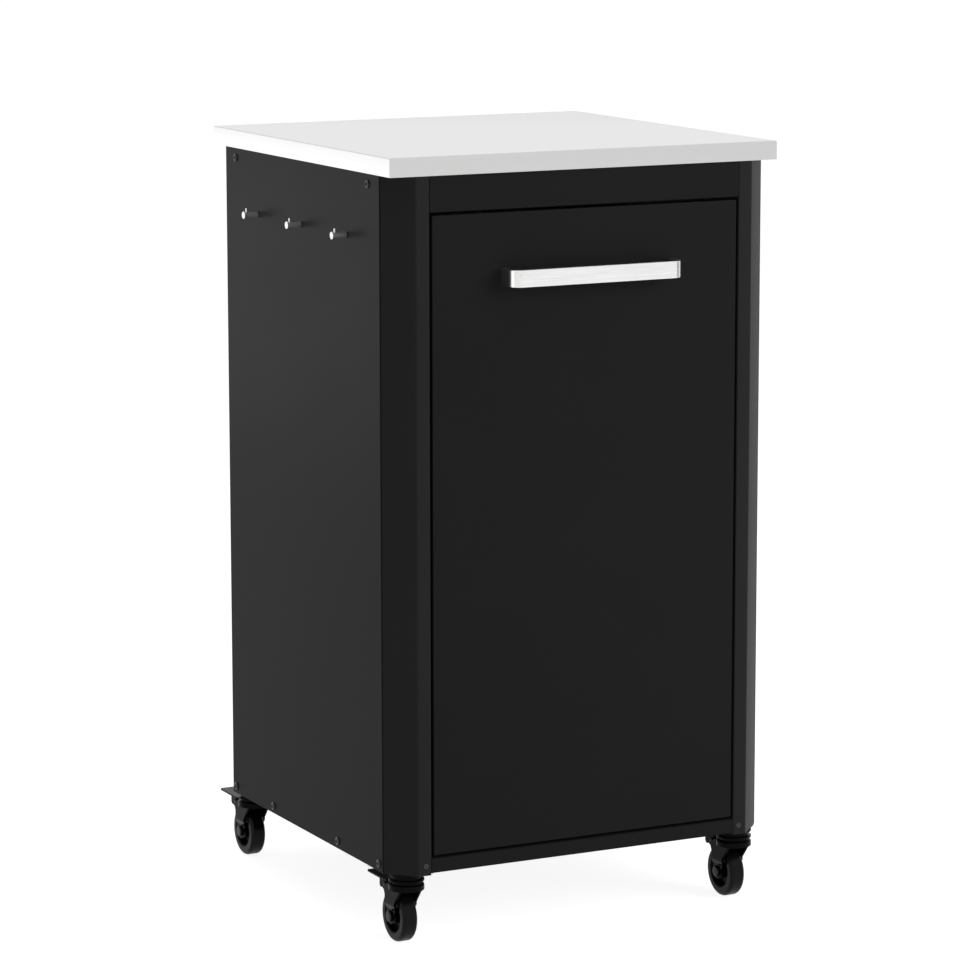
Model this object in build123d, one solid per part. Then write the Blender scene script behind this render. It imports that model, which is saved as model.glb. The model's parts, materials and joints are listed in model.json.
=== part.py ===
from build123d import *
import os
from math import sqrt

# Outdoor kitchen cabinet on castors with one tall pull-out front, in millimetres.
# The origin is on the floor below the middle of the whole outline: X right, Y to the back, Z up.
# Each piece is drawn about the middle of the body and moved there when it is written.

# Cabinet body
body_width = 496.0
body_depth = 496.0
working_height = 915.0
seam = 0.3
panel_sheet = 1.2
panel_raise = 1.0
panel_flange = 12.0
panel_bend = 1.5
flange_relief = 2.0

# Corner posts, folded with a 45 degree corner
post_sheet = 1.5
post_corner = 31.0
post_strip = 17.0
post_bend = 4.0
post_leg = 40.0
post_jamb = 25.0
jamb_bend = 0.95

# Worktop, a folded steel tray stiffened by two hat channels
worktop_edge = 22.0
worktop_overhang = 2.0
worktop_sheet = 1.2
worktop_lip = 12.0
worktop_round = 1.2
stiffener_inset = 26.0
stiffener_width = 26.0
stiffener_flange = 10.0
stiffener_sheet = 1.2
stiffener_bend = 2.0
bracket_sheet = 2.0
bracket_width = 20.0
bracket_reach = 40.0
bracket_drop = 24.0
bracket_bend = 3.0

# Front frame round the pull-out
front_gap = 3.0
top_rail_height = 42.0
bottom_rail_height = 18.0
bottom_rail_raise = 2.0
rail_return = 20.0
floor_setback = 8.0

# Back panel vents
vent_length = 40.0
vent_width = 7.0
vent_pitch = 56.0
vent_count = 6
vent_row_pitch = 16.0
vent_rows = 3
vent_end_distance = 90.0

# Button head screws in the panels and small screws in the front posts
screw_radius = 2.5
screw_length = 9.0
screw_head_radius = 4.8
screw_head_height = 2.6
screw_head_round = 1.8
screw_key = 3.0
screw_key_depth = 1.4
small_screw_radius = 2.0
small_head_radius = 3.2
small_head_height = 1.6
small_head_round = 1.2
small_key = 2.0
small_key_depth = 0.8
screw_clearance = 0.2
upper_screw_inset = 61.0
upper_screw_drop = 12.0
lower_screw_inset = 41.0
lower_screw_rise = 10.0
floor_screw_spacing = 187.0
front_screw_inset = 7.5
front_screw_rise = 11.5

# Foot plates that carry the castors
foot_plate = 4.0
foot_clearance = 0.5
foot_lug = 3.0
foot_lug_width = 11.0
foot_lug_height = 14.0

# Utensil hooks on the left panel
hook_count = 3
hook_pitch = 126.0
hook_drop = 75.0
hook_back_shift = -3.0
hook_length = 18.6
hook_radius = 3.7
hook_head_radius = 4.4
hook_head = 2.4
hook_neck_radius = 3.0
hook_neck = 0.8
hook_shank_radius = 2.5
hook_shank = 8.0
hook_pin_radius = 1.4
hook_pin_height = 4.4
hook_pin_inset = 4.2
hook_pin_seat = 3.0
hook_nut_flats = 8.0
hook_nut = 4.0

# Pull-out front, tray and braces
front_depth = 18.0
front_sheet = 1.2
front_round = 1.0
liner_sheet = 1.0
tray_sheet = 1.2
tray_bend = 1.5
tray_depth = 400.0
tray_wall = 120.0
tray_lift = 12.0
tray_flange = 12.0
base_upstand = 15.0
base_setback = 4.0
brace_sheet = 1.5
brace_height = 280.0
brace_depth = 130.0
brace_overlap = 40.0
brace_flange = 12.0
brace_nose = 12.0
tray_screw_ends = 25.0

# Bow handle, a bent flat bar
handle_length = 222.0
handle_height = 20.0
handle_bar = 8.0
handle_projection = 32.0
handle_bend = 13.5
handle_drop = 73.0
handle_edge = 0.6
handle_screw_radius = 2.0
handle_screw_bite = 14.0
handle_screw_tip_gap = 1.0
handle_screw_head = 3.5
handle_screw_head_height = 2.2

# Telescopic runners
runner_height = 45.0
runner_thickness = 12.7
runner_sheet = 1.4
runner_length = 400.0
runner_bend = 1.5
runner_gap = 0.3
runner_height_above_tray = 38.0
runner_setback = 27.0
support_sheet = 1.5
support_flange = 13.0
support_margin = 4.0
support_bend = 2.0
support_front_setback = 8.0

# Castors: stem, swivel head, fork, wheel and brake pedal
castor_height = 87.0
swivel_inset = 29.5
stem_radius = 6.0
stem_tail = 6.0
stem_nut_flats = 19.0
stem_nut = 10.0
head_radius = 21.0
head_neck_radius = 17.5
head_flange = 3.0
head_upper_neck = 4.7
head_ring = 2.8
head_lower_neck = 2.7
head_gap = 0.3
head_edge = 0.8
king_pin_radius = 8.0
king_pin_head_radius = 11.0
king_pin_head = 2.6
running_clearance = 0.05
crown_plate = 3.2
crown_depth = 7.0
crown_round = 2.2
leg_sheet = 3.2
leg_front = 3.0
leg_crown_front = -12.0
leg_gusset = 18.0
leg_rear = 28.0
leg_end_radius = 9.4
leg_straight = 14.0
leg_joggle = 6.0
leg_joggle_rise = 15.0
leg_joggle_bend = 4.0
wheel_radius = 30.5
wheel_width = 19.0
wheel_trail = 18.0
wheel_room = 2.5
wheel_side_gap = 2.2
tyre_inner_radius = 21.0
tyre_shoulder = 4.5
rim_inner_radius = 19.2
rim_edge = 0.5
hub_radius = 9.0
hub_end_gap = 0.4
hub_inset = 0.7
web_sheet = 5.0
axle_radius = 4.0
axle_head_radius = 6.5
axle_head = 3.0
axle_nut_flats = 11.0
axle_nut = 4.5
pedal_sheet = 2.2
pedal_drop = 0.5
pedal_reach = 76.0
pedal_front_gap = 2.0
pedal_corner = 3.0
pedal_pin_back = 30.5
pedal_pin_drop = 8.1
pedal_pin_radius = 2.0
pedal_ear_gap = 0.4
pedal_cheek = 1.8
pedal_cheek_gap = 0.4
pedal_cheek_back = 49.0
pedal_cheek_depth = 10.0
brake_bar_radius = 4.0
brake_bar_inset = 4.0

# Faces and levels that several pieces share
half_width = body_width / 2
half_depth = body_depth / 2
body_top = working_height - worktop_edge
body_bottom = castor_height
panel_bottom = body_bottom + panel_raise
panel_inner = half_width - panel_sheet
back_inner = half_depth - panel_sheet
leg_inner_x = panel_inner - post_sheet
leg_inner_y = back_inner - post_sheet
side_run = half_depth - post_corner - post_leg - flange_relief
back_run = half_width - post_corner - post_leg - flange_relief
jamb_x = half_width - post_corner - post_strip
front_half = jamb_x - front_gap
bottom_rail_low = body_bottom + bottom_rail_raise
floor_low = bottom_rail_low + bottom_rail_height
floor_top = floor_low + panel_sheet
front_low = floor_low + front_gap
front_high = body_top - top_rail_height - front_gap
liner_back = -half_depth + front_depth
tray_low = front_low + tray_lift
tray_back = liner_back + tray_depth
runner_outer = jamb_x + post_sheet
tray_outer = runner_outer - runner_thickness
runner_middle_height = tray_low + runner_height_above_tray
handle_middle = front_high - handle_drop
hook_middle = body_top - hook_drop
crown_top = castor_height - head_flange - head_upper_neck - head_ring - head_lower_neck - head_gap
fork_inner = wheel_width / 2 + wheel_side_gap
fork_outer = fork_inner + leg_sheet
hub_half = wheel_width / 2 - hub_inset
fork_low_inner = hub_half + hub_end_gap
pedal_top = crown_top - pedal_drop
pedal_under = pedal_top - pedal_sheet
pedal_pin_height = crown_top - pedal_pin_drop
pedal_ear_radius = pedal_under - pedal_pin_height - pedal_ear_gap
outline_left = -half_width - hook_length
outline_right = half_width + screw_head_height
outline_front = -half_depth - handle_projection
outline_back = half_depth - swivel_inset + pedal_reach

sides = {"left": -1, "right": 1}
corners = {
    "front_left": (-1, -1),
    "front_right": (1, -1),
    "rear_left": (-1, 1),
    "rear_right": (1, 1),
}


def block(low, high):
    """Rectangular block between two corners."""
    size = [b - a for a, b in zip(low, high)]
    return Pos(*low) * Box(*size, align=Align.MIN)


def rod(start, end, radius):
    """Round bar from one point to another."""
    run = Vector(*end) - Vector(*start)
    return extrude(Plane(origin=start, z_dir=run) * Circle(radius), run.length)


def hexagon(flats):
    """Hexagon measured across its flats."""
    return RegularPolygon(flats / 2, 6, major_radius=False)


def folded(points, thickness, bend):
    """Section of a folded sheet along its middle line."""
    return trace(FilletPolyline(*points, radius=bend), thickness)


def along_x(section, start, end):
    """Section drawn in Y and Z, run along X."""
    return extrude(Plane.YZ.offset(start) * section, end - start, dir=(1, 0, 0))


def along_y(section, start, end):
    """Section drawn in X and Z, run along Y."""
    return extrude(Plane.XZ.offset(-start) * section, end - start, dir=(0, 1, 0))


def along_z(section, start, end):
    """Section drawn in X and Y, run upwards."""
    return extrude(Plane.XY.offset(start) * section, end - start, dir=(0, 0, 1))


def on_side(shape, side):
    """Piece drawn for the right, kept there or mirrored to the left."""
    return shape if side > 0 else mirror(shape, about=Plane.YZ)


def group(pieces):
    """Several separate solids kept under one name."""
    return Compound(children=[solid for piece in pieces for solid in piece.solids()])


def screw(radius, length, head_radius, head_height, head_round, key, key_depth):
    """Button head screw that stands on its seat, with its shank downwards."""
    head = extrude(Circle(head_radius), head_height)
    head = fillet(head.edges().group_by(Axis.Z)[-1], head_round)
    shank = Pos(0, 0, -length) * extrude(Circle(radius), length)
    socket = Pos(0, 0, head_height - key_depth) * extrude(hexagon(key), key_depth)
    return head + shank - socket


def panel_screw():
    """Screw that holds the panels to the posts and the floor."""
    return screw(screw_radius, screw_length, screw_head_radius, screw_head_height,
                 screw_head_round, screw_key, screw_key_depth)


def small_screw():
    """Screw of the front posts and of the tray."""
    return screw(small_screw_radius, screw_length, small_head_radius, small_head_height,
                 small_head_round, small_key, small_key_depth)


def placed(shape, seats, outward):
    """Copies of a screw on each of its seats."""
    return [Plane(origin=seat, z_dir=outward).location * shape for seat in seats]


def drilled(shape, seats, outward, radius):
    """Clearance holes for screws on the given seats."""
    out = Vector(*outward)
    for seat in seats:
        start = Vector(*seat) + out * screw_head_height
        end = Vector(*seat) - out * (screw_length + screw_head_height)
        shape = shape - rod(start, end, radius + screw_clearance)
    return shape


def edge_seats(half_run):
    """Places of a panel's screws along its width and height."""
    upper = half_run - upper_screw_inset
    lower = half_run - lower_screw_inset
    floor = floor_screw_spacing / 2
    high = body_top - upper_screw_drop
    low = body_bottom + lower_screw_rise
    spots = [(-upper, high), (upper, high)]
    spots += [(run, low) for run in (-lower, -floor, floor, lower)]
    return spots


def side_seats(side):
    """Screw seats on the outer face of a side panel."""
    return [(side * half_width, run, height) for run, height in edge_seats(half_depth)]


def back_seats():
    """Screw seats on the outer face of the back panel."""
    return [(run, half_depth, height) for run, height in edge_seats(half_width)]


def front_seats(side):
    """Seat of the small screw low on a front post."""
    return [(side * (jamb_x + front_screw_inset), -half_depth, body_bottom + front_screw_rise)]


def worktop_seats(side):
    """Screw seats under the top brackets."""
    run = half_depth - upper_screw_inset
    across = side * (half_width - stiffener_inset)
    return [(across, end * run, body_top - bracket_sheet) for end in (-1, 1)]


def hook_spots():
    """Distance to the back of each utensil hook."""
    return [hook_back_shift + hook_pitch * (i - (hook_count - 1) / 2) for i in range(hook_count)]


def worktop():
    """Folded worktop tray with a lip turned in below its edge."""
    half_x = half_width + worktop_overhang
    half_y = half_depth + worktop_overhang
    tray = block((-half_x, -half_y, body_top), (half_x, half_y, working_height))
    tray = fillet(tray.edges().filter_by(Axis.Z) + tray.edges().group_by(Axis.Z)[-1], worktop_round)
    in_x = half_x - worktop_sheet
    in_y = half_y - worktop_sheet
    low = body_top + worktop_sheet
    high = working_height - worktop_sheet
    tray -= block((-in_x, -in_y, low), (in_x, in_y, high))
    lip_x = in_x - worktop_lip
    lip_y = in_y - worktop_lip
    return tray - block((-lip_x, -lip_y, body_top), (lip_x, lip_y, low))


def worktop_stiffener(side):
    """Hat channel glued below the worktop sheet."""
    high = working_height - worktop_sheet - stiffener_sheet / 2
    low = body_top + stiffener_sheet / 2
    half = stiffener_width / 2
    brim = half + stiffener_flange
    points = [(-brim, high), (-half, high), (-half, low), (half, low), (half, high), (brim, high)]
    run = half_depth + worktop_overhang - worktop_sheet - worktop_lip - flange_relief
    hat = along_y(folded(points, stiffener_sheet, stiffener_bend), -run, run)
    hat = Pos(side * (half_width - stiffener_inset), 0, 0) * hat
    return drilled(hat, worktop_seats(side), (0, 0, -1), screw_radius)


def top_bracket(side, end):
    """Angle that joins a post to the worktop."""
    upright = leg_inner_x - bracket_sheet / 2
    shelf = body_top - bracket_sheet / 2
    points = [(upright, body_top - bracket_drop), (upright, shelf), (leg_inner_x - bracket_reach, shelf)]
    middle = end * (half_depth - upper_screw_inset)
    section = folded(points, bracket_sheet, bracket_bend)
    angle = along_y(section, middle - bracket_width / 2, middle + bracket_width / 2)
    angle = drilled(on_side(angle, side), side_seats(side), (side, 0, 0), screw_radius)
    return drilled(angle, worktop_seats(side), (0, 0, -1), screw_radius)


def side_panel(side):
    """Flat side sheet with short flanges at its top and bottom."""
    run = half_depth - post_corner
    sheet = block((panel_inner, -run, panel_bottom), (half_width, run, body_top))
    middle = half_width - panel_sheet / 2
    inner = half_width - panel_flange
    low = panel_bottom + panel_sheet / 2
    high = body_top - panel_sheet / 2
    points = [(inner, low), (middle, low), (middle, high), (inner, high)]
    flanges = along_y(folded(points, panel_sheet, panel_bend), -side_run, side_run)
    panel = drilled(on_side(sheet + flanges, side), side_seats(side), (side, 0, 0), screw_radius)
    if side > 0:
        return panel
    for run in hook_spots():
        start = (side * half_width, run, hook_middle)
        end = (side * (half_width - panel_sheet), run, hook_middle)
        panel -= rod(start, end, hook_shank_radius + screw_clearance)
    return panel


def back_panel():
    """Back sheet with a block of vent slots near its top and bottom."""
    run = half_width - post_corner
    sheet = block((-run, back_inner, panel_bottom), (run, half_depth, body_top))
    middle = half_depth - panel_sheet / 2
    inner = half_depth - panel_flange
    low = panel_bottom + panel_sheet / 2
    high = body_top - panel_sheet / 2
    points = [(inner, low), (middle, low), (middle, high), (inner, high)]
    panel = sheet + along_x(folded(points, panel_sheet, panel_bend), -back_run, back_run)
    vents = GridLocations(vent_pitch, vent_row_pitch, vent_count, vent_rows)
    slots = Sketch() + [place * SlotOverall(vent_length, vent_width) for place in vents]
    for height in (panel_bottom + vent_end_distance, body_top - vent_end_distance):
        panel -= along_y(Pos(0, height) * slots, back_inner, half_depth)
    return drilled(panel, back_seats(), (0, 1, 0), screw_radius)


def front_post(side):
    """Front corner post: jamb, front strip, slanted corner and leg behind the side panel."""
    front = -half_depth + post_sheet / 2
    flank = panel_inner - post_sheet / 2
    slant = half_width - post_corner + half_depth - post_sheet / sqrt(2)
    jamb = jamb_x + post_sheet / 2
    points = [
        (jamb, -half_depth + post_jamb),
        (jamb, front),
        (slant + front, front),
        (flank, flank - slant),
        (flank, -half_depth + post_corner + post_leg),
    ]
    section = folded(points, post_sheet, (jamb_bend, post_bend, post_bend))
    post = on_side(along_z(section, body_bottom, body_top), side)
    post = drilled(post, side_seats(side), (side, 0, 0), screw_radius)
    return drilled(post, front_seats(side), (0, -1, 0), small_screw_radius)


def rear_post(side):
    """Rear corner post: slanted corner with a leg behind each panel."""
    back = back_inner - post_sheet / 2
    flank = panel_inner - post_sheet / 2
    slant = half_width - post_corner + half_depth - post_sheet / sqrt(2)
    points = [
        (half_width - post_corner - post_leg, back),
        (slant - back, back),
        (flank, slant - flank),
        (flank, half_depth - post_corner - post_leg),
    ]
    post = on_side(along_z(folded(points, post_sheet, post_bend), body_bottom, body_top), side)
    post = drilled(post, side_seats(side), (side, 0, 0), screw_radius)
    return drilled(post, back_seats(), (0, 1, 0), screw_radius)


def front_rail(low, height):
    """Channel with end tabs welded between the front posts, level with their front faces."""
    front = -half_depth + panel_sheet / 2
    inner = -half_depth + rail_return
    bottom = low + panel_sheet / 2
    top = low + height - panel_sheet / 2
    points = [(inner, bottom), (front, bottom), (front, top), (inner, top)]
    rail = along_x(folded(points, panel_sheet, panel_bend), -jamb_x, jamb_x)
    tab_low = (jamb_x - panel_sheet, front, bottom)
    tab = block(tab_low, (jamb_x, inner, top))
    for side in sides.values():
        rail += on_side(tab, side)
    return rail


def floor_panel():
    """Floor sheet with flanges turned down behind the side and back panels."""
    level = floor_low + panel_sheet / 2
    low = panel_bottom + panel_sheet + panel_bend
    flank = panel_inner - panel_sheet / 2
    points = [(-flank, low), (-flank, level), (flank, level), (flank, low)]
    floor = along_y(folded(points, panel_sheet, panel_bend), -side_run, side_run)
    reach = jamb_x - seam
    floor += block((-reach, -half_depth + floor_setback, floor_low), (reach, -side_run, floor_top))
    floor += block((-reach, side_run, floor_low), (reach, leg_inner_y - seam, floor_top))
    back = back_inner - panel_sheet / 2
    points = [(side_run, level), (back, level), (back, low)]
    floor += along_x(folded(points, panel_sheet, panel_bend), -back_run, back_run)
    for side in sides.values():
        floor = drilled(floor, side_seats(side), (side, 0, 0), screw_radius)
    return drilled(floor, back_seats(), (0, 1, 0), screw_radius)


def foot_plate_in_post(side, end):
    """Plate in the bottom of a post, with two lugs that the post screws hold."""
    inner = jamb_x + post_sheet + foot_clearance
    flank = leg_inner_x - foot_clearance
    front = half_depth - post_sheet - foot_clearance
    if end > 0:
        front = leg_inner_y - foot_clearance
    depth = half_depth - post_corner - post_leg
    slant = half_width - post_corner + half_depth - (post_sheet + foot_clearance) * sqrt(2)
    outline = Polygon((inner, depth), (inner, front), (slant - front, front),
                      (flank, slant - flank), (flank, depth), align=None)
    plate = along_z(outline, body_bottom, body_bottom + foot_plate)
    lug_top = body_bottom + foot_plate + foot_lug_height
    lug_run = half_depth - lower_screw_inset
    plate += block((flank - foot_lug, lug_run - foot_lug_width / 2, body_bottom),
                   (flank, lug_run + foot_lug_width / 2, lug_top))
    if end < 0:
        lug_run = jamb_x + front_screw_inset
    else:
        lug_run = half_width - lower_screw_inset
    plate += block((lug_run - foot_lug_width / 2, front - foot_lug, body_bottom + foot_plate),
                   (lug_run + foot_lug_width / 2, front, lug_top))
    axis = (half_width - swivel_inset, half_depth - swivel_inset)
    plate -= rod((*axis, body_bottom), (*axis, body_bottom + foot_plate), stem_radius + screw_clearance)
    plate = on_side(plate, side)
    if end < 0:
        plate = mirror(plate, about=Plane.XZ)
        plate = drilled(plate, front_seats(side), (0, -1, 0), small_screw_radius)
    else:
        plate = drilled(plate, back_seats(), (0, 1, 0), screw_radius)
    return drilled(plate, side_seats(side), (side, 0, 0), screw_radius)


def hook_peg(run):
    """Turned peg with a neck, a head and a threaded shank through the left panel."""
    face = -half_width
    tip = face - hook_length
    peg = rod((face - hook_neck, run, hook_middle), (tip, run, hook_middle), hook_radius)
    peg += rod((face, run, hook_middle), (face - hook_neck, run, hook_middle), hook_neck_radius)
    peg += rod((tip + hook_head, run, hook_middle), (tip, run, hook_middle), hook_head_radius)
    peg += rod((face, run, hook_middle), (face + hook_shank, run, hook_middle), hook_shank_radius)
    seat = hook_middle + hook_radius - hook_pin_seat
    across = tip + hook_pin_inset
    return peg - rod((across, run, seat), (across, run, hook_middle + hook_radius), hook_pin_radius)


def hook_pin(run):
    """Upright pin pressed into a peg, which keeps a hung tool on it."""
    across = -half_width - hook_length + hook_pin_inset
    seat = hook_middle + hook_radius - hook_pin_seat
    top = hook_middle + hook_radius + hook_pin_height
    pin = rod((across, run, seat), (across, run, top), hook_pin_radius)
    return fillet(pin.edges().group_by(Axis.Z)[-1], hook_pin_radius / 2)


def hook_nut_on(run):
    """Nut that holds a peg from inside the panel."""
    face = Plane(origin=(-panel_inner, run, hook_middle), z_dir=(1, 0, 0))
    nut = extrude(face * hexagon(hook_nut_flats), hook_nut)
    shank = Circle(hook_shank_radius + running_clearance)
    return nut - extrude(face * shank, hook_nut)


def drawer_front():
    """Folded front of the pull-out, open at its back."""
    pan = block((-front_half, -half_depth, front_low), (front_half, liner_back, front_high))
    pan = fillet(pan.edges().group_by(Axis.Y)[0], front_round)
    inner = front_half - front_sheet
    pan -= block((-inner, -half_depth + front_sheet, front_low + front_sheet),
                 (inner, liner_back, front_high - front_sheet))
    for seat in handle_seats():
        end = (seat[0], -half_depth, seat[2])
        pan -= rod(seat, end, handle_screw_radius + screw_clearance)
    return pan


def drawer_front_liner():
    """Sheet that closes the back of the pull-out front."""
    half = front_half - front_sheet - seam
    low = front_low + front_sheet + seam
    high = front_high - front_sheet - seam
    liner = block((-half, liner_back - liner_sheet, low), (half, liner_back, high))
    for side in sides.values():
        liner = drilled(liner, tray_seats(side), (0, 1, 0), small_screw_radius)
    return liner


def tray_seats(side):
    """Screw seats on the front flanges of a tray side and its brace."""
    wall_across = side * (tray_outer - (tray_flange + tray_sheet) / 2)
    brace_across = side * (tray_outer - tray_sheet - (brace_flange + brace_sheet) / 2)
    wall_face = liner_back + tray_sheet
    brace_face = liner_back + brace_sheet
    wall_top = tray_low + tray_wall
    seats = [(wall_across, wall_face, tray_low + tray_screw_ends)]
    seats += [(brace_across, brace_face, wall_top + tray_screw_ends)]
    seats += [(brace_across, brace_face, wall_top + brace_height - tray_screw_ends)]
    return seats


def tray_side(side):
    """Side wall of the pull-out tray, turned in behind the front."""
    flank = tray_outer - tray_sheet / 2
    face = liner_back + tray_sheet / 2
    points = [(tray_outer - tray_flange, face), (flank, face), (flank, tray_back)]
    wall = along_z(folded(points, tray_sheet, tray_bend), tray_low, tray_low + tray_wall)
    notch_low = tray_low + tray_wall - brace_overlap
    wall -= block((tray_outer - tray_flange, liner_back, notch_low),
                  (tray_outer - tray_sheet, liner_back + tray_sheet + tray_bend, tray_low + tray_wall))
    return drilled(on_side(wall, side), tray_seats(side), (0, 1, 0), small_screw_radius)


def tray_base():
    """Tray floor with edges turned up inside the side walls."""
    flank = tray_outer - tray_sheet - tray_sheet / 2
    level = tray_low + tray_sheet / 2
    high = tray_low + base_upstand
    points = [(-flank, high), (-flank, level), (flank, level), (flank, high)]
    return along_y(folded(points, tray_sheet, tray_bend), liner_back + base_setback, tray_back)


def tray_rear_wall():
    """Rear wall of the tray, turned forward inside the side walls."""
    flank = tray_outer - tray_sheet - seam - tray_sheet / 2
    face = tray_back - tray_sheet / 2
    front = tray_back - tray_flange
    points = [(-flank, front), (-flank, face), (flank, face), (flank, front)]
    low = tray_low + base_upstand + seam
    return along_z(folded(points, tray_sheet, tray_bend), low, tray_low + tray_wall)


def front_brace(side):
    """Triangular gusset that keeps the tall front square to the tray."""
    outer = tray_outer - tray_sheet
    low = tray_low + tray_wall - brace_overlap
    high = tray_low + tray_wall + brace_height
    back = liner_back + brace_depth
    outline = Polygon((liner_back, low), (back, low), (back, low + brace_nose),
                      (liner_back + brace_flange, high), (liner_back, high), align=None)
    web = along_x(outline, outer - brace_sheet, outer)
    middle = outer - brace_sheet / 2
    face = liner_back + brace_sheet / 2
    points = [(outer - brace_flange, face), (middle, face), (middle, liner_back + brace_flange)]
    angle = along_z(folded(points, brace_sheet, brace_sheet), low, high)
    corner = block((outer - brace_sheet, liner_back, low), (outer, liner_back + 2 * brace_sheet, high))
    brace = (web - corner) + angle
    return drilled(on_side(brace, side), tray_seats(side), (0, 1, 0), small_screw_radius)


def handle_seats():
    """Seats of the handle screws, on the inner face of the front sheet."""
    across = handle_length / 2 - handle_bar / 2
    return [(side * across, -half_depth + front_sheet, handle_middle) for side in sides.values()]


def handle():
    """Flat bar bent to a bow, with a tapped hole in the end of each leg."""
    across = handle_length / 2 - handle_bar / 2
    out = -half_depth - handle_projection + handle_bar / 2
    points = [(-across, -half_depth), (-across, out), (across, out), (across, -half_depth)]
    section = folded(points, handle_bar, handle_bend - handle_bar / 2)
    bar = along_z(section, handle_middle - handle_height / 2, handle_middle + handle_height / 2)
    ends = bar.edges().group_by(Axis.Z)
    bar = chamfer(ends[0] + ends[-1], handle_edge)
    for seat in handle_seats():
        end = (seat[0], -half_depth - handle_screw_bite, seat[2])
        bar -= rod(seat, end, handle_screw_radius + running_clearance)
    return bar


def handle_screw(seat):
    """Pan head screw from inside the front into a handle leg."""
    shank_end = (seat[0], -half_depth - handle_screw_bite + handle_screw_tip_gap, seat[2])
    head_end = (seat[0], seat[1] + handle_screw_head_height, seat[2])
    return rod(seat, shank_end, handle_screw_radius) + rod(seat, head_end, handle_screw_head)


def runner(layer, opens_in):
    """One nested channel of a telescopic runner, with its web and two lips."""
    step = layer * (runner_sheet + runner_gap)
    half = runner_height / 2 - step - runner_sheet / 2
    inner = tray_outer
    outer = runner_outer
    if opens_in:
        web = outer - step - runner_sheet / 2
        tip = inner + runner_sheet + runner_gap
    else:
        web = inner + runner_sheet / 2
        tip = outer - step
    low = runner_middle_height - half
    high = runner_middle_height + half
    points = [(tip, low), (web, low), (web, high), (tip, high)]
    start = -half_depth + runner_setback
    return along_y(folded(points, runner_sheet, runner_bend), start, start + runner_length)


def runner_support():
    """Channel from the front jamb to the rear post that carries a runner."""
    web = runner_outer + support_sheet / 2
    tip = runner_outer + support_flange
    low = runner_middle_height - runner_height / 2 - support_margin
    high = runner_middle_height + runner_height / 2 + support_margin
    points = [(tip, low), (web, low), (web, high), (tip, high)]
    start = -half_depth + post_jamb + seam
    rail = along_y(folded(points, support_sheet, support_bend), start, leg_inner_y)
    tongue_start = -half_depth + support_front_setback
    rail += block((runner_outer, tongue_start, low), (runner_outer + support_sheet, start, high))
    tab_face = leg_inner_y - support_sheet
    return rail + block((runner_outer, tab_face, low), (tip, leg_inner_y, high))


def castor_stem():
    """Threaded stem, head flange and king pin of a castor, turned from one piece."""
    neck_top = castor_height - head_flange
    neck_low = neck_top - head_upper_neck
    pin_head_top = crown_top - crown_plate - head_gap
    thread_top = castor_height + foot_plate + stem_nut + stem_tail
    flange = along_z(Circle(head_radius), neck_top, castor_height)
    flange = fillet(flange.edges(), head_edge)
    stem = flange + along_z(Circle(head_neck_radius), neck_low, neck_top)
    stem += along_z(Circle(stem_radius), castor_height, thread_top)
    stem += along_z(Circle(king_pin_radius), pin_head_top, neck_low)
    return stem + along_z(Circle(king_pin_head_radius), pin_head_top - king_pin_head, pin_head_top)


def castor_stem_nut():
    """Nut on the stem, above the foot plate."""
    low = castor_height + foot_plate
    ring = hexagon(stem_nut_flats) - Circle(stem_radius + running_clearance)
    return along_z(ring, low, low + stem_nut)


def swivel_bearing():
    """Ball race housing between the stem flange and the fork."""
    ring_top = castor_height - head_flange - head_upper_neck
    ring_low = ring_top - head_ring
    low = ring_low - head_lower_neck
    bore = Circle(king_pin_radius + running_clearance)
    ring = along_z(Circle(head_radius), ring_low, ring_top)
    ring = fillet(ring.edges(), head_edge)
    ring += along_z(Circle(head_neck_radius), low, ring_low)
    return ring - along_z(bore, low, ring_top)


def fork():
    """Pressed fork: cap over the wheel and two legs, wide at the cap, that step in to the axle."""
    cap_low = crown_top - crown_depth
    crown = along_z(Circle(head_radius), cap_low, crown_top)
    crown = fillet(crown.edges().group_by(Axis.Z)[-1], crown_round)
    crown -= along_z(Circle(head_radius - leg_sheet), cap_low, crown_top - crown_plate)
    body = crown + fork_leg(1) + fork_leg(-1)
    wheel_axis = (wheel_trail, wheel_radius)
    room = Pos(*wheel_axis) * Circle(wheel_radius + wheel_room)
    body -= along_x(room, -fork_inner, fork_inner)
    bore = Circle(king_pin_radius + running_clearance)
    body -= along_z(bore, cap_low, crown_top)
    holes = Pos(*wheel_axis) * Circle(axle_radius + running_clearance)
    holes += Pos(pedal_pin_back, pedal_pin_height) * Circle(pedal_pin_radius + running_clearance)
    return body - along_x(holes, -fork_outer, fork_outer)


def fork_leg(side):
    """One leg of the fork, with an ear for the pedal pin."""
    top = crown_top - crown_plate
    knee = wheel_radius + leg_straight
    cap_low = crown_top - crown_depth
    shape = Polygon(
        (leg_crown_front, top), (leg_crown_front, cap_low),
        (leg_front, cap_low - leg_gusset), (leg_front, knee),
        (wheel_trail - leg_end_radius, wheel_radius), (wheel_trail + leg_end_radius, wheel_radius),
        (leg_rear, knee), (leg_rear, pedal_pin_height), (head_radius, top), align=None)
    shape += Pos(wheel_trail, wheel_radius) * Circle(leg_end_radius)
    shape += Pos(pedal_pin_back, pedal_pin_height) * Circle(pedal_ear_radius)
    shape += Polygon((leg_front, pedal_pin_height), (leg_rear, pedal_pin_height - pedal_ear_radius * 2),
                     (pedal_pin_back, pedal_pin_height - pedal_ear_radius),
                     (pedal_pin_back, pedal_pin_height), align=None)
    upper = fork_inner + leg_sheet / 2
    lower = fork_low_inner + leg_sheet / 2
    joggle = wheel_radius + leg_joggle_rise
    points = [(upper, top), (upper, joggle), (lower, joggle - leg_joggle),
              (lower, wheel_radius - leg_end_radius)]
    bent = along_y(folded(points, leg_sheet, leg_joggle_bend), -pedal_reach, pedal_reach)
    return on_side(bent & along_x(shape, 0, 2 * fork_outer), side)


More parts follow.
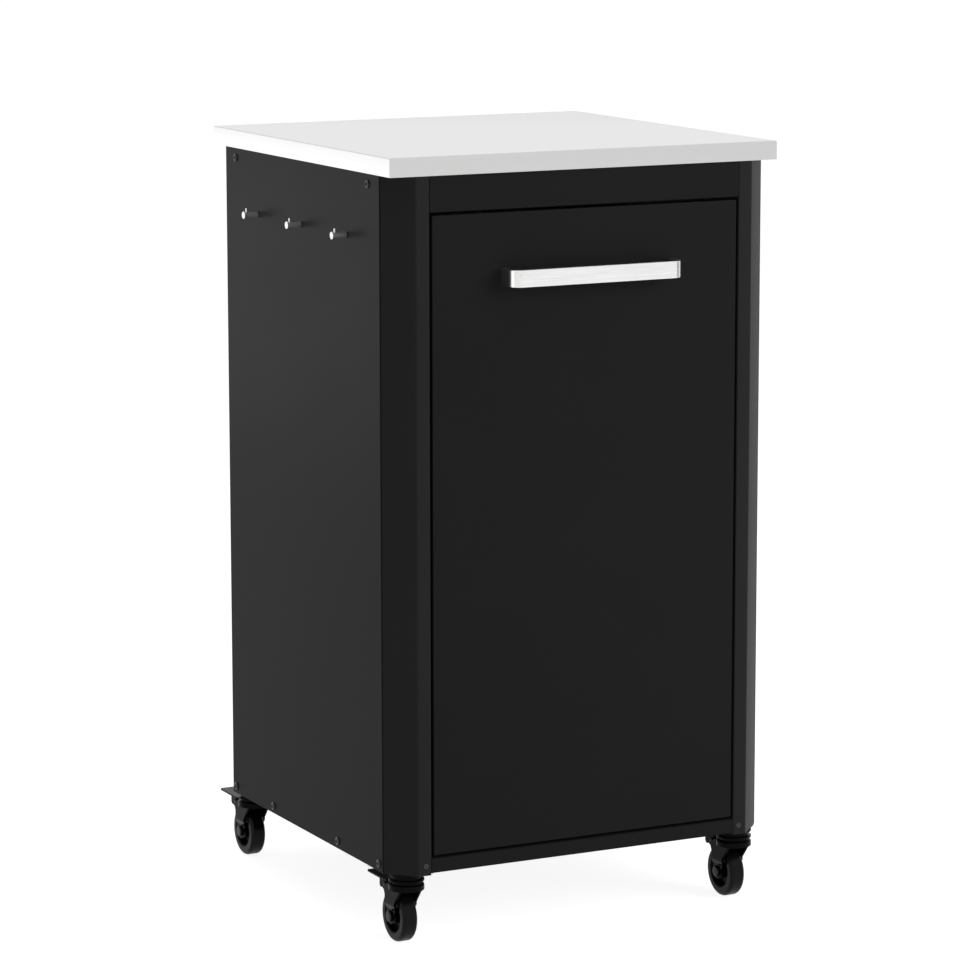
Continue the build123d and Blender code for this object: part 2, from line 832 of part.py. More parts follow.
def castor_fixings():
    """Axle bolt, its nut and the pedal pin of one castor."""
    outer = fork_low_inner + leg_sheet
    axle = (wheel_trail, wheel_radius)
    bolt = rod((-outer, *axle), (outer + axle_nut, *axle), axle_radius)
    head = rod((-outer, *axle), (-outer - axle_head, *axle), axle_head_radius)
    head = fillet(head.edges().group_by(Axis.X)[0], axle_head / 2)
    nut_face = Plane(origin=(outer, *axle), z_dir=(1, 0, 0))
    ring = hexagon(axle_nut_flats) - Circle(axle_radius + running_clearance)
    nut = extrude(nut_face * ring, axle_nut)
    pin_axis = (pedal_pin_back, pedal_pin_height)
    pin = rod((-fork_outer, *pin_axis), (fork_outer, *pin_axis), pedal_pin_radius)
    return [bolt + head, nut, pin]


def wheel_core():
    """Wheel body: hub, web and rim turned about the axle."""
    rim_half = wheel_width / 2 - rim_edge
    rim = Circle(tyre_inner_radius) - Circle(rim_inner_radius)
    core = along_x(rim, -rim_half, rim_half)
    core += along_x(Circle(rim_inner_radius), -web_sheet / 2, web_sheet / 2)
    core += along_x(Circle(hub_radius), -hub_half, hub_half)
    core -= along_x(Circle(axle_radius + running_clearance), -hub_half, hub_half)
    return Pos(0, wheel_trail, wheel_radius) * core


def tyre():
    """Rubber tread with rounded shoulders."""
    half = wheel_width / 2
    tread = along_x(Circle(wheel_radius), -half, half)
    tread = fillet(tread.edges(), tyre_shoulder)
    tread -= along_x(Circle(tyre_inner_radius), -half, half)
    return Pos(0, wheel_trail, wheel_radius) * tread


def brake_pedal():
    """Foot pedal over the wheel, with two cheeks on the pin and a brake bar between them."""
    plate = Pos(0, (head_radius + pedal_front_gap + pedal_reach) / 2) * Rectangle(
        2 * fork_outer, pedal_reach - head_radius - pedal_front_gap)
    plate = fillet(plate.vertices().group_by(Axis.Y)[-1], pedal_corner)
    pedal = along_z(plate, pedal_under, pedal_top)
    cheek_low = pedal_under - pedal_cheek_depth
    ear_front = pedal_pin_back - pedal_ear_radius
    cheek = Polygon((ear_front, pedal_under), (ear_front, cheek_low),
                    (pedal_cheek_back, cheek_low), (pedal_cheek_back, pedal_under), align=None)
    cheek = fillet(cheek.vertices().group_by(Axis.Y)[0], pedal_ear_radius / 2)
    cheek -= Pos(pedal_pin_back, pedal_pin_height) * Circle(pedal_pin_radius + running_clearance)
    outer = fork_inner - pedal_cheek_gap
    for side in sides.values():
        pedal += along_x(cheek, *sorted((side * outer, side * (outer - pedal_cheek))))
    bar_height = cheek_low + brake_bar_radius / 2
    bar_back = pedal_cheek_back - brake_bar_inset
    return pedal + rod((-outer, bar_back, bar_height), (outer, bar_back, bar_height), brake_bar_radius)


def swivel_place(corner):
    """Floor point below the swivel axis of a castor."""
    across, end = corner
    return Pos(across * (half_width - swivel_inset), end * (half_depth - swivel_inset), 0)


def fixed_pieces():
    """Pieces of the cabinet body that never move."""
    every_corner = list(corners.values())
    pieces = {
        "worktop": worktop(),
        "worktop_stiffeners": group([worktop_stiffener(side) for side in sides.values()]),
        "worktop_brackets": group([top_bracket(*corner) for corner in every_corner]),
        "back_panel": back_panel(),
        "top_front_rail": front_rail(body_top - top_rail_height, top_rail_height),
        "bottom_front_rail": front_rail(bottom_rail_low, bottom_rail_height),
        "floor_panel": floor_panel(),
        "foot_plates": group([foot_plate_in_post(*corner) for corner in every_corner]),
        "runner_supports": group([on_side(runner_support(), side) for side in sides.values()]),
        "runner_outer_members": group([on_side(runner(0, True), side) for side in sides.values()]),
        "hook_pegs": group([hook_peg(run) for run in hook_spots()]),
        "hook_pins": group([hook_pin(run) for run in hook_spots()]),
        "hook_nuts": group([hook_nut_on(run) for run in hook_spots()]),
        "castor_stems": group([swivel_place(corner) * castor_stem() for corner in every_corner]),
        "castor_stem_nuts": group([swivel_place(corner) * castor_stem_nut() for corner in every_corner]),
        "swivel_bearings": group([swivel_place(corner) * swivel_bearing() for corner in every_corner]),
    }
    side_screws = []
    front_screws = []
    worktop_screws = []
    for name, side in sides.items():
        pieces["side_panel_" + name] = side_panel(side)
        pieces["front_post_" + name] = front_post(side)
        pieces["rear_post_" + name] = rear_post(side)
        side_screws += placed(panel_screw(), side_seats(side), (side, 0, 0))
        front_screws += placed(small_screw(), front_seats(side), (0, -1, 0))
        worktop_screws += placed(panel_screw(), worktop_seats(side), (0, 0, -1))
    pieces["side_panel_screws"] = group(side_screws)
    pieces["front_post_screws"] = group(front_screws)
    pieces["worktop_screws"] = group(worktop_screws)
    pieces["back_panel_screws"] = group(placed(panel_screw(), back_seats(), (0, 1, 0)))
    return pieces


def sliding_pieces():
    """Pieces of the pull-out and the middle members of its runners."""
    pieces = {
        "drawer_front": drawer_front(),
        "drawer_front_liner": drawer_front_liner(),
        "handle": handle(),
        "handle_screws": group([handle_screw(seat) for seat in handle_seats()]),
        "tray_base": tray_base(),
        "tray_rear_wall": tray_rear_wall(),
        "runner_middle_members": group([on_side(runner(1, True), side) for side in sides.values()]),
        "runner_inner_members": group([on_side(runner(2, False), side) for side in sides.values()]),
    }
    tray_screws = []
    for name, side in sides.items():
        pieces["tray_side_" + name] = tray_side(side)
        pieces["front_brace_" + name] = front_brace(side)
        tray_screws += placed(small_screw(), tray_seats(side), (0, 1, 0))
    pieces["tray_screws"] = group(tray_screws)
    return pieces


def rolling_pieces():
    """Fork, fixings, wheel, tyre and pedal of each castor."""
    pieces = {}
    for name, corner in corners.items():
        place = swivel_place(corner)
        pieces["castor_fork_" + name] = place * fork()
        pieces["castor_fixings_" + name] = group([place * piece for piece in castor_fixings()])
        pieces["wheel_core_" + name] = place * wheel_core()
        pieces["tyre_" + name] = place * tyre()
        pieces["brake_pedal_" + name] = place * brake_pedal()
    return pieces


os.makedirs("parts", exist_ok=True)
to_origin = Pos(-(outline_left + outline_right) / 2, -(outline_front + outline_back) / 2, 0)
for node, piece in {**fixed_pieces(), **sliding_pieces(), **rolling_pieces()}.items():
    solids = [to_origin * solid for solid in piece.solids()]
    export_step(solids[0] if len(solids) == 1 else Compound(children=solids), "parts/" + node + ".step")
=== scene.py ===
import json
from math import cos, radians, sin

import bmesh
import bpy
from mathutils import Matrix, Vector


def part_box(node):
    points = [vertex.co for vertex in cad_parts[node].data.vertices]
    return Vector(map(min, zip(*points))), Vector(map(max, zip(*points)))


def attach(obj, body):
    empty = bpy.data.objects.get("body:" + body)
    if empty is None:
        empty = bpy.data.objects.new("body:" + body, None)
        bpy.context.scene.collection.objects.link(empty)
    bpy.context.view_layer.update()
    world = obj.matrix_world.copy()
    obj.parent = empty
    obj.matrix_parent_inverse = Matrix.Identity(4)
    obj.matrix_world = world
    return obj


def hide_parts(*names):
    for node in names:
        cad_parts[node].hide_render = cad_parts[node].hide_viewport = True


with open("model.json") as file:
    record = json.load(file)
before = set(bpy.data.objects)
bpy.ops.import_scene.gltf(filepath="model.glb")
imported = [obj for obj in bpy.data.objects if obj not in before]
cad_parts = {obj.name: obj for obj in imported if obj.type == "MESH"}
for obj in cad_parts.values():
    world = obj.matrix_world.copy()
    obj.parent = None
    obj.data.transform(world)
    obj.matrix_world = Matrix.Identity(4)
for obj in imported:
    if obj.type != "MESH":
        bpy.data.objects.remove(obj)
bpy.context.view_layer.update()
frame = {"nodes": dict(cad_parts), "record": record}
nodes = frame["nodes"]


# Corner posts, rails and floor
# Folded steel sheet with a satin black powder coat that breaks softly over every edge, painted lighter on the posts
# as painted light.
# The posts stand at the corners, and the rails and the floor are welded between them.
class Wire:
    """A socket of a finish, so that its values can be worked with in plain expressions."""

    def __init__(self, tree, socket=None):
        self.tree = tree
        self.socket = socket

    def node(self, kind, settings=None, sockets=None, out=0):
        """Add one node, with its settings first and then the values or links of its sockets."""
        made = self.tree.nodes.new(kind)
        for key, value in (settings or {}).items():
            setattr(made, key, value)
        for key, value in (sockets or {}).items():
            if isinstance(value, Wire):
                self.tree.links.new(value.socket, made.inputs[key])
            else:
                made.inputs[key].default_value = value
        if not made.outputs:
            return self
        return Wire(self.tree, made.outputs[out])

    def math(self, operation, *terms):
        return self.node("ShaderNodeMath", {"operation": operation}, dict(enumerate(terms)))

    def __add__(self, other):
        return self.math("ADD", self, other)

    def __sub__(self, other):
        return self.math("SUBTRACT", self, other)

    def __rsub__(self, other):
        return self.math("SUBTRACT", other, self)

    def __mul__(self, other):
        return self.math("MULTIPLY", self, other)

    __radd__ = __add__
    __rmul__ = __mul__


def new_finish(name):
    """An empty material and the wire that its nodes start from."""
    material = bpy.data.materials.new(name)
    material.use_nodes = True
    material.node_tree.nodes.clear()
    return material, Wire(material.node_tree)


def grain(wire, scale, detail=2.0, stretch=(1, 1, 1)):
    """Noise from 0 to 1 fixed to the piece, with its cells stretched by the given shares."""
    place = wire.node("ShaderNodeTexCoord", out="Object")
    spread = wire.node("ShaderNodeMapping", sockets={"Vector": place, "Scale": stretch})
    return wire.node("ShaderNodeTexNoise", sockets={"Vector": spread, "Scale": scale, "Detail": detail})


colour_share, first_colour, second_colour, mixed_colour = 0, 6, 7, 2


def tint(wire, share, dark, light):
    """Colour between two ends."""
    ends = {colour_share: share, first_colour: (*dark, 1), second_colour: (*light, 1)}
    return wire.node("ShaderNodeMix", {"data_type": "RGBA"}, ends, out=mixed_colour)


def bump(wire, height, strength, distance):
    """Small relief of a surface."""
    return wire.node("ShaderNodeBump", sockets={"Height": height, "Strength": strength, "Distance": distance})


def close(wire, **sockets):
    """Finish a material with one principled surface."""
    named = {key.replace("_", " "): value for key, value in sockets.items()}
    shader = wire.node("ShaderNodeBsdfPrincipled", sockets=named)
    wire.node("ShaderNodeOutputMaterial", sockets={"Surface": shader})


body_of = {name: body for body, names in frame["record"]["behaviour"]["bodies"].items() for name in names}


def stands_for(piece, node):
    """A piece that takes the place of a node: it rides on the same body, and the node is hidden."""
    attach(piece, body_of[node])
    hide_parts(node)


merge_distance = 0.000002
flat_angle = radians(0.4)
crease_angle = radians(40)
round_segments = 2
sheet_round = 0.0003
rail_round = 0.0006


def broken_edges(material, width, *names):
    """Pieces of the frame made again with their sharp sheet edges broken by a small round."""
    for name in names:
        mesh = bpy.data.meshes.new(name + "_rounded")
        work = bmesh.new()
        work.from_mesh(nodes[name].data)
        bmesh.ops.remove_doubles(work, verts=work.verts, dist=merge_distance)
        bmesh.ops.dissolve_limit(work, angle_limit=flat_angle, verts=work.verts, edges=work.edges)
        work.to_mesh(mesh)
        work.free()
        for layer in [layer for layer in mesh.attributes if layer.name == "custom_normal"]:
            mesh.attributes.remove(layer)
        mesh.shade_smooth()
        mesh.set_sharp_from_angle(angle=crease_angle)
        mesh.materials.clear()
        mesh.materials.append(material)
        piece = bpy.data.objects.new(name + "_rounded", mesh)
        bpy.context.scene.collection.objects.link(piece)
        edge = piece.modifiers.new("edge", "BEVEL")
        edge.width = width
        edge.segments = round_segments
        edge.limit_method = "ANGLE"
        edge.angle_limit = crease_angle
        edge.use_clamp_overlap = False
        edge.harden_normals = True
        stands_for(piece, name)


def black_powder_coat(name, dark, light, shine):
    """Satin black coat with a fine orange peel and faint wiped patches."""
    peel_scale, patch_scale, speck_scale = 620.0, 9.0, 2600.0
    satin, patch_dulling, speck_dulling = 0.28, 0.06, 0.05
    peel_strength, peel_depth = 0.12, 0.0004
    material, wire = new_finish(name)
    peel = grain(wire, peel_scale, 1.5)
    patch = grain(wire, patch_scale, 3.0)
    speck = grain(wire, speck_scale, 1.0)
    colour = tint(wire, patch * 0.6 + speck * 0.4, dark, light)
    close(wire, Base_Color=colour, Specular_IOR_Level=shine,
          Roughness=satin + patch * patch_dulling + speck * speck_dulling,
          Normal=bump(wire, peel + speck * 0.35, peel_strength, peel_depth))
    return material


# The posts get a lighter copy of the panels' black coat: painted light that stands in for the brighter sheen on
# their front strips.
painted_light_post_low, painted_light_post_high, post_shine = (0.0156, 0.0156, 0.0159), (0.0182, 0.0182, 0.0185), 0.033
sheet_dark, sheet_light, sheet_shine = (0.0098, 0.0098, 0.0101), (0.0117, 0.0117, 0.012), 0.035
post_coat_painted_lighter = black_powder_coat("post_powder_coat_painted_lighter", painted_light_post_low, painted_light_post_high, post_shine)
powder_coat = black_powder_coat("black_powder_coat", sheet_dark, sheet_light, sheet_shine)
broken_edges(post_coat_painted_lighter, sheet_round, "front_post_left", "front_post_right", "rear_post_left", "rear_post_right")
broken_edges(powder_coat, rail_round, "top_front_rail", "bottom_front_rail")
broken_edges(powder_coat, sheet_round, "floor_panel")


# Side and back panels
# Flat steel sheets in the same black coat, the back one with two fields of punched vent slots.
# They close the body between the posts and are screwed to them.
broken_edges(powder_coat, sheet_round, "side_panel_left", "side_panel_right", "back_panel")


# Foot plates, runners and hidden fittings
# Plain steel with a bright zinc plating that shows its crystals: plates, runners, brackets and nuts.
# They are screwed to the posts, the worktop and the tray, where they are out of sight.
def zinc_plating():
    """Blue-white zinc with large soft crystals."""
    crystal_scale, scuff_scale = 190.0, 700.0
    dark, light = (0.5, 0.51, 0.53), (0.68, 0.69, 0.7)
    gloss, crystal_dulling, scuff_dulling = 0.3, 0.14, 0.08
    scuff_strength, scuff_depth = 0.06, 0.0003
    material, wire = new_finish("zinc_plated_steel")
    place = wire.node("ShaderNodeTexCoord", out="Object")
    crystal = wire.node("ShaderNodeTexVoronoi", sockets={"Vector": place, "Scale": crystal_scale}, out="Color")
    shade = wire.node("ShaderNodeSeparateColor", sockets={"Color": crystal})
    scuff = grain(wire, scuff_scale, 3.0)
    colour = tint(wire, shade * 0.7 + scuff * 0.3, dark, light)
    close(wire, Base_Color=colour, Metallic=1.0,
          Roughness=gloss + shade * crystal_dulling + scuff * scuff_dulling,
          Normal=bump(wire, scuff, scuff_strength, scuff_depth))
    return material


def wear(material, *names):
    """Put a finish on pieces of the frame."""
    for name in names:
        nodes[name].data.materials.clear()
        nodes[name].data.materials.append(material)


zinc = zinc_plating()
wear(zinc, "foot_plates", "runner_supports", "runner_outer_members", "runner_middle_members", "runner_inner_members")
wear(zinc, "worktop_stiffeners", "worktop_brackets", "hook_nuts", "castor_stem_nuts", "handle_screws")


# Worktop
# One folded stainless sheet, brushed from left to right.
# It rests on the posts and on its stiffeners, and brackets hold it from below.
def brushed_stainless(name, base, depth, relief, stretch, rough):
    """Stainless steel with fine straight brush lines."""
    streak_middle, streak_contrast = 0.36, 3.5
    line_dulling, cloud_dulling = depth * 0.6, 0.03
    relief_depth = 0.0002
    material, wire = new_finish(name)
    lines = grain(wire, 1.0, 4.0, stretch)
    fine = grain(wire, 2.3, 2.0, stretch)
    cloud = grain(wire, 5.0, 2.0)
    low = tuple(channel * (1 - depth) for channel in base)
    streak = (lines * 0.5 + fine * 0.5 - streak_middle) * streak_contrast
    colour = tint(wire, streak, low, base)
    close(wire, Base_Color=colour, Metallic=1.0, Roughness=rough + lines * line_dulling + cloud * cloud_dulling,
          Normal=bump(wire, lines + fine * 0.5, relief, relief_depth))
    return material


brushed_worktop = brushed_stainless("brushed_worktop", base=(0.745, 0.745, 0.742), depth=0.02, relief=0.006,
                                    stretch=(9, 1900, 1900), rough=0.24)
broken_edges(brushed_worktop, sheet_round, "worktop")


# Panel screws
# Steel button-head screws with a hexagon socket, in black oxide outside and zinc plated inside.
# They hold the panels and posts together, the worktop on its brackets, and the tray.
def black_oxide(name, low, high):
    """Oiled black oxide with bright rubbed spots."""
    rub_scale, rub_strength, rub_depth = 900.0, 0.08, 0.0002
    metal_share, gloss, rub_dulling = 0.8, 0.2, 0.15
    material, wire = new_finish(name)
    rub = grain(wire, rub_scale, 3.0)
    colour = tint(wire, rub, (low, low, low), (high, high, high))
    close(wire, Base_Color=colour, Metallic=metal_share, Roughness=gloss + rub * rub_dulling,
          Normal=bump(wire, rub, rub_strength, rub_depth))
    return material


def screw_maker():
    """Geometry nodes that put a button-head screw with a hexagon socket on every seat point."""
    head_sides, dome_rings, key_sides, shank_sides = 48, 8, 6, 24
    tree = bpy.data.node_groups.new("button_head_screws", "GeometryNodeTree")
    number = "NodeSocketFloat"
    kinds = {"Seats": "NodeSocketGeometry", "Head Radius": number, "Head Height": number, "Shank Radius": number,
             "Shank Length": number, "Key Radius": number, "Key Depth": number, "Dome": number,
             "Finish": "NodeSocketMaterial"}
    for name, kind in kinds.items():
        tree.interface.new_socket(name, in_out="INPUT", socket_type=kind)
    tree.interface.new_socket("Screws", in_out="OUTPUT", socket_type="NodeSocketGeometry")
    entry = tree.nodes.new("NodeGroupInput")
    given = {name: Wire(tree, entry.outputs[name]) for name in kinds}
    wire = Wire(tree)

    def bar(sides, radius, depth, middle, rings=1):
        """Upright bar with its middle at the given height."""
        stock = wire.node("GeometryNodeMeshCylinder", sockets={
            "Vertices": sides, "Fill Segments": rings, "Radius": radius, "Depth": depth})
        lift = wire.node("ShaderNodeCombineXYZ", sockets={"Z": middle})
        return wire.node("GeometryNodeTransform", sockets={"Geometry": stock, "Translation": lift})

    head = bar(head_sides, given["Head Radius"], given["Head Height"], given["Head Height"] * 0.5, dome_rings)
    place = wire.node("GeometryNodeInputPosition")
    across, along, height = (wire.node("ShaderNodeSeparateXYZ", sockets={0: place}, out=out) for out in range(3))
    edge_share = wire.math("DIVIDE", across * across + along * along, given["Head Radius"] * given["Head Radius"])
    drop = wire.node("ShaderNodeCombineXYZ", sockets={"Z": edge_share * given["Dome"] * height * -1.0})
    dome = wire.node("GeometryNodeSetPosition", sockets={"Geometry": head, "Offset": drop})
    key = bar(key_sides, given["Key Radius"], given["Key Depth"] * 2.0, given["Head Height"])
    socketed = wire.node("GeometryNodeMeshBoolean", {"operation": "DIFFERENCE", "solver": "EXACT"},
                         {"Mesh 1": dome, "Mesh 2": key})
    shank = bar(shank_sides, given["Shank Radius"], given["Shank Length"], given["Shank Length"] * -0.5)
    screw = wire.node("GeometryNodeJoinGeometry", sockets={0: socketed})
    tree.links.new(shank.socket, screw.socket.node.inputs[0])
    smooth = wire.node("GeometryNodeSetShadeSmooth", sockets={0: screw})
    fold = wire.node("GeometryNodeInputMeshEdgeAngle")
    creased = wire.node("GeometryNodeSetShadeSmooth", {"domain": "EDGE"}, {
        0: smooth, 1: wire.math("GREATER_THAN", fold, crease_angle), 2: False})
    outward = wire.node("GeometryNodeInputNamedAttribute", {"data_type": "FLOAT_VECTOR"}, {"Name": "outward"})
    turn = wire.node("FunctionNodeAlignRotationToVector", {"axis": "Z"}, {"Vector": outward})
    spread = wire.node("GeometryNodeInstanceOnPoints", sockets={
        "Points": given["Seats"], "Instance": creased, "Rotation": turn})
    real = wire.node("GeometryNodeRealizeInstances", sockets={0: spread})
    dressed = wire.node("GeometryNodeSetMaterial", sockets={"Geometry": real, "Material": given["Finish"]})
    wire.node("NodeGroupOutput", sockets={"Screws": dressed})
    return tree


def islands(mesh):
    """Lowest and highest corner of each loose piece of a mesh."""
    work = bmesh.new()
    work.from_mesh(mesh)
    bmesh.ops.remove_doubles(work, verts=work.verts, dist=merge_distance)
    left = set(work.verts)
    found = []
    while left:
        edge_of_walk = [left.pop()]
        points = []
        while edge_of_walk:
            vert = edge_of_walk.pop()
            points.append(vert.co.copy())
            near = {edge.other_vert(vert) for edge in vert.link_edges} & left
            left -= near
            edge_of_walk += near
        found.append([Vector([pick(point[axis] for point in points) for axis in range(3)]) for pick in (min, max)])
    work.free()
    return found


def turned_screws(material, sizes, outward, *names):
    """The screws of some nodes made again with domed heads, where the nodes have them."""
    for name in names:
        seats = []
        directions = []
        for low, high in islands(nodes[name].data):
            centre = (low + high) / 2
            side = Vector(outward)
            if name == "side_panel_screws":
                side *= 1 if centre.x > 0 else -1
            length = abs((high - low).dot(side))
            seats.append(centre + side * (length / 2 - sizes["Head Height"]))
            directions.append(side)
        points = bpy.data.meshes.new(name + "_seats")
        points.from_pydata(seats, [], [])
        layer = points.attributes.new("outward", "FLOAT_VECTOR", "POINT")
        for entry, side in zip(layer.data, directions):
            entry.vector = side
        holder = bpy.data.objects.new(name + "_seats", points)
        bpy.context.scene.collection.objects.link(holder)
        modifier = holder.modifiers.new("screws", "NODES")
        modifier.node_group = screw_tree
        values = {**sizes, "Shank Length": length - sizes["Head Height"], "Finish": material}
        for item in screw_tree.interface.items_tree:
            if item.name in values:
                modifier[item.identifier] = values[item.name]
        made = holder.evaluated_get(bpy.context.evaluated_depsgraph_get())
        piece = bpy.data.objects.new(name + "_turned", bpy.data.meshes.new_from_object(made))
        bpy.data.objects.remove(holder)
        bpy.context.scene.collection.objects.link(piece)
        stands_for(piece, name)


screw_tree = screw_maker()
oxide = black_oxide("black_screw_steel", low=0.03, high=0.076)
panel_screw = {"Head Radius": 0.0048, "Head Height": 0.0026, "Shank Radius": 0.0025,
               "Key Radius": 0.00173, "Key Depth": 0.0014, "Dome": 0.62}
small_screw = {"Head Radius": 0.0032, "Head Height": 0.0016, "Shank Radius": 0.0015,
               "Key Radius": 0.00115, "Key Depth": 0.0009, "Dome": 0.62}
to_the_right, to_the_front, to_the_back, downward = (1, 0, 0), (0, -1, 0), (0, 1, 0), (0, 0, -1)
turned_screws(oxide, panel_screw, to_the_right, "side_panel_screws")
turned_screws(oxide, panel_screw, to_the_back, "back_panel_screws")
turned_screws(oxide, small_screw, to_the_front, "front_post_screws")
turned_screws(zinc, panel_screw, downward, "worktop_screws")
turned_screws(zinc, small_screw, to_the_back, "tray_screws")


# Utensil hooks
# Turned pegs of bright steel, each with an upright pin pressed in near its head.
# A nut inside the left side panel holds each peg.
def turned_steel():
    """Bright steel with the fine rings of the lathe."""
    ring_stretch, ring_strength, ring_depth = (2600, 60, 60), 0.04, 0.0002
    dark, light = (0.72, 0.72, 0.73), (0.88, 0.88, 0.89)
    gloss, ring_dulling = 0.31, 0.08
    material, wire = new_finish("turned_steel")
    rings = grain(wire, 1.0, 2.0, ring_stretch)
    colour = tint(wire, rings, dark, light)
    close(wire, Base_Color=colour, Metallic=1.0, Roughness=gloss + rings * ring_dulling,
          Normal=bump(wire, rings, ring_strength, ring_depth))
    return material


broken_edges(turned_steel(), sheet_round, "hook_pegs", "hook_pins")


# Pull-out front, tray and braces
# Folded steel sheet in the black coat of the body. The tall front is a pan closed by a liner.
# The tray hangs between the runners, and two braces hold the front upright on it.
broken_edges(powder_coat, sheet_round, "drawer_front", "drawer_front_liner", "tray_base", "tray_rear_wall",
             "tray_side_left", "tray_side_right", "front_brace_left", "front_brace_right")


# Bow handle
# A flat stainless bar, bent to a bow and brushed along its length.
# Two screws hold it from inside the front.
# The handle gets a brighter copy of the worktop's stainless, with a near-white base: painted reflection that lifts
# its face.
brushed_handle_painted_brighter = brushed_stainless("brushed_handle_painted_brighter", base=(1.0, 1.0, 0.995), depth=0.11, relief=0.02,
                                   stretch=(12, 480, 480), rough=0.2)
bar_round = 0.0005
broken_edges(brushed_handle_painted_brighter, bar_round, "handle")


# Castors
# Pressed forks in black enamel, plastic wheels with rubber tyres, and a foot pedal over each wheel.
# Nuts hold the stems in the foot plates, and bolts through the forks carry the wheels and the pedals.
def gloss_black(name, low, high, rough, shine, stretch):
    """Black enamel, plastic or rubber: a little cloudy, with a fine skin that can run round a wheel."""
    cloud_scale, cloud_dulling = 160.0, 0.08
    skin_strength, skin_depth = 0.06, 0.0003
    material, wire = new_finish(name)
    cloud = grain(wire, cloud_scale, 3.0)
    skin = grain(wire, 1.0, 1.0, stretch)
    colour = tint(wire, cloud, (low, low, low), (high, high, high))
    close(wire, Base_Color=colour, Roughness=rough + cloud * cloud_dulling, Specular_IOR_Level=shine,
          Normal=bump(wire, skin, skin_strength, skin_depth))
    return material


enamel = gloss_black("castor_black_steel", low=0.0015, high=0.0025, rough=0.09, shine=0.048,
                     stretch=(1400, 1400, 1400))
moulded = gloss_black("wheel_black_plastic", low=0.001, high=0.002, rough=0.3, shine=0.06, stretch=(900, 900, 900))
rubber = gloss_black("tyre_rubber", low=0.0025, high=0.004, rough=0.27, shine=0.12, stretch=(1500, 30, 30))
# The castor fixings get a darker copy of the screws' black oxide: painted shade for the wheel recess they sit in.
shaded_axle_oxide = black_oxide("axle_steel_painted_shade", low=0.006, high=0.02)
broken_edges(enamel, sheet_round, "castor_stems", "swivel_bearings")
for corner in ("front_left", "front_right", "rear_left", "rear_right"):
    broken_edges(enamel, sheet_round, "castor_fork_" + corner, "brake_pedal_" + corner)
    broken_edges(shaded_axle_oxide, sheet_round, "castor_fixings_" + corner)
    broken_edges(moulded, sheet_round, "wheel_core_" + corner)
    wear(rubber, "tyre_" + corner)


# Floor and surroundings
# A plain white floor that runs out of sight into a white room.
# Both are white to the camera and a little darker in the mirror of the metal.
def ray(wire, kind):
    """1 for rays of one kind, else 0."""
    return wire.node("ShaderNodeLightPath", out="Is " + kind + " Ray")


def mirrored(wire):
    """1 for the rays that see the set in a mirror or through glass, else 0."""
    return wire.math("MAXIMUM", ray(wire, "Glossy"), ray(wire, "Transmission"))


def shown(wire):
    """1 for the rays that see the set itself or its mirror image, else 0."""
    return wire.math("MAXIMUM", ray(wire, "Camera"), mirrored(wire))


def sheet_on_stage(name, across, along, material):
    """A flat rectangle of the studio, with half its width and half its length given."""
    mesh = bpy.data.meshes.new(name)
    mesh.from_pydata([(-across, -along, 0), (across, -along, 0), (across, along, 0), (-across, along, 0)],
                     [], [(0, 1, 2, 3)])
    mesh.materials.append(material)
    flat = bpy.data.objects.new(name, mesh)
    bpy.context.scene.collection.objects.link(flat)
    return flat


floor_reach = 60.0
floor_glow, floor_mirror_loss = 0.9, 0.21
room_light, room_mirror_loss = 0.45, 0.13
bounce_grey, shadow_grey, white = (0.72, 0.72, 0.72, 1), (0.28, 0.28, 0.28, 1), (1, 1, 1, 1)
floor_paint, wire = new_finish("floor_white")
bounce = wire.node("ShaderNodeBsdfDiffuse", sockets={"Color": bounce_grey})
shadow = wire.node("ShaderNodeBsdfDiffuse", sockets={"Color": shadow_grey})
glow = wire.node("ShaderNodeEmission", sockets={
    "Color": white, "Strength": floor_glow - floor_mirror_loss * mirrored(wire)})
seen = wire.node("ShaderNodeAddShader", sockets={0: shadow, 1: glow})
both = wire.node("ShaderNodeMixShader", sockets={0: shown(wire), 1: bounce, 2: seen})
wire.node("ShaderNodeOutputMaterial", sockets={"Surface": both})
sheet_on_stage("floor", floor_reach, floor_reach, floor_paint)

room = bpy.data.worlds.new("studio")
room.use_nodes = True
room.node_tree.nodes.clear()
bpy.context.scene.world = room
sky = Wire(room.node_tree)
plain = sky.node("ShaderNodeBackground", sockets={"Color": white, "Strength": room_light})
backdrop = sky.node("ShaderNodeBackground", sockets={
    "Color": white, "Strength": 1 - room_mirror_loss * mirrored(sky)})
both = sky.node("ShaderNodeMixShader", sockets={0: shown(sky), 1: plain, 2: backdrop})
sky.node("ShaderNodeOutputWorld", sockets={"Surface": both})


# Lamps and card
# Soft studio lamps round the unit. Some are seen in the mirror of the metal and some only light it.
# A black card on the right gives the bend of the handle its dark band.
def turn_to(place, target):
    """The turn that points a lamp or card at a place."""
    return (Vector(target) - Vector(place)).to_track_quat("-Z", "Y").to_euler()


def softbox(name, place, size, watts, mirrors):
    """A large soft lamp that points at the middle of the unit, and that shines in its surfaces or not."""
    lamp = bpy.data.lights.new(name, "AREA")
    lamp.shape = "RECTANGLE"
    lamp.size, lamp.size_y = size
    lamp.energy = watts
    holder = bpy.data.objects.new(name, lamp)
    bpy.context.scene.collection.objects.link(holder)
    holder.location = place
    holder.visible_camera = False
    holder.visible_glossy = mirrors
    holder.rotation_euler = turn_to(place, unit_middle)


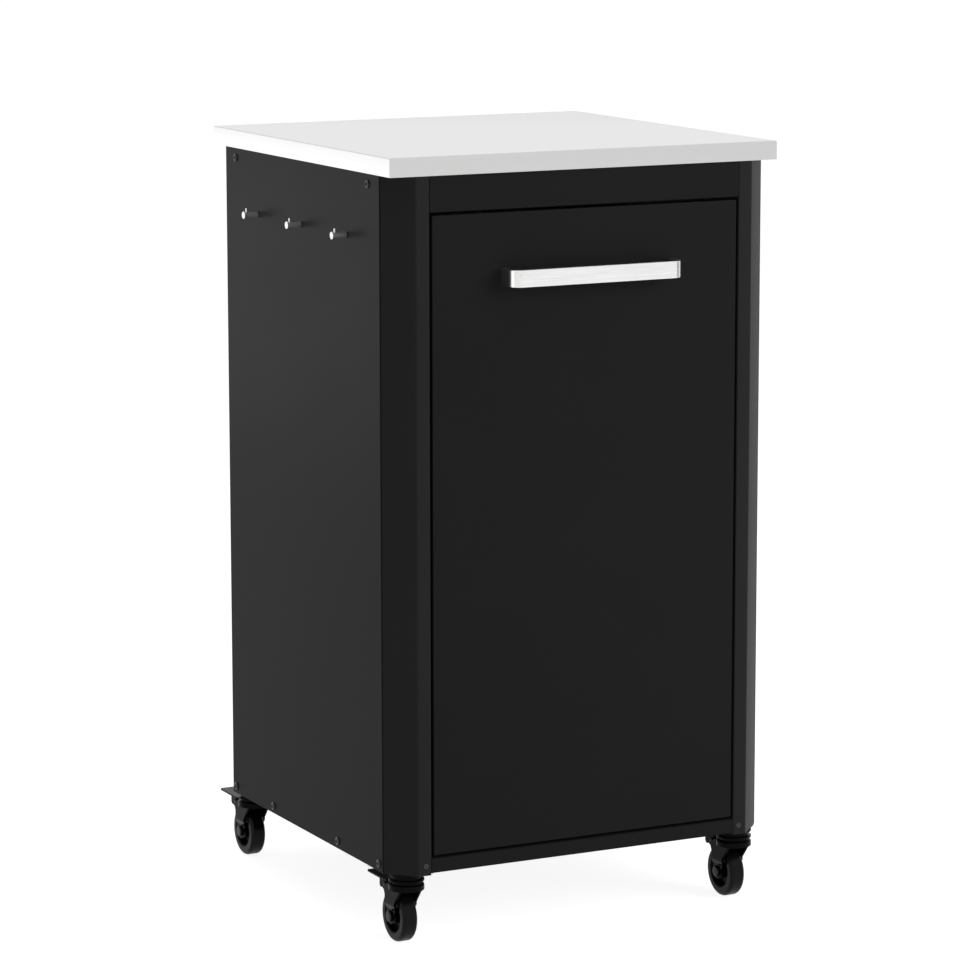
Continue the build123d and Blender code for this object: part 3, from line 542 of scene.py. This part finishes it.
unit_middle = (0, 0, 0.5)
softbox("lamp_top", place=(0.2, 0.3, 3.4), size=(5.0, 5.0), watts=64, mirrors=False)
softbox("lamp_back", place=(-1.29, 2.06, 0.52), size=(1.4, 0.62), watts=1.9, mirrors=True)
softbox("lamp_far", place=(1.8, 3.7, 1.9), size=(3.2, 1.8), watts=2.3, mirrors=True)
softbox("lamp_left", place=(-2.0, -0.4, 0.36), size=(0.5, 0.6), watts=1.1, mirrors=True)
softbox("lamp_right", place=(2.3, -3.1, 1.7), size=(2.4, 2.0), watts=110, mirrors=False)

card_half_width, card_half_height = 0.2, 0.33
card_place, card_target = (1.3, -0.8, 0.42), (0.1, -0.29, 0.42)
card_grey = (0.03, 0.03, 0.03, 1)
card_black, wire = new_finish("card_black")
matt_black = wire.node("ShaderNodeBsdfDiffuse", sockets={"Color": card_grey})
wire.node("ShaderNodeOutputMaterial", sockets={"Surface": matt_black})
card = sheet_on_stage("card_right", card_half_width, card_half_height, card_black)
card.location = card_place
card.rotation_euler = turn_to(card_place, card_target)
card.visible_camera = False
card.visible_diffuse = False
card.visible_shadow = False


# Camera
# A long lens that stands left of the front and a little above the worktop.
# Its place was worked out from the straight edges of the unit in the photograph.
photo_pixels = 960
focal_pixels = 4036.57
sensor_width = 36.0
view_reach = 200.0
camera_offset = Vector((-2.17263, -4.29509, 1.31856))
camera_yaw = radians(26.698)
camera_pitch = radians(-9.707)
camera_roll = -0.0014
body_low, body_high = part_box("worktop")
body_middle = (body_low + body_high) / 2 * Vector((1, 1, 0))
camera_data = bpy.data.cameras.new("camera")
camera_data.sensor_width = sensor_width
camera_data.lens = focal_pixels * sensor_width / photo_pixels
camera_data.clip_end = view_reach
camera = bpy.data.objects.new("camera", camera_data)
bpy.context.scene.collection.objects.link(camera)
ahead = Vector((sin(camera_yaw) * cos(camera_pitch), cos(camera_yaw) * cos(camera_pitch), sin(camera_pitch)))
right = Vector((cos(camera_yaw), -sin(camera_yaw), 0))
level_up = right.cross(ahead)
tilted_right = cos(camera_roll) * right + sin(camera_roll) * level_up
tilted_up = cos(camera_roll) * level_up - sin(camera_roll) * right
turn = Matrix((tilted_right, tilted_up, -ahead)).transposed()
camera.matrix_world = Matrix.Translation(body_middle + camera_offset) @ turn.to_4x4()
bpy.context.scene.camera = camera
bpy.context.scene.view_settings.view_transform = "Standard"
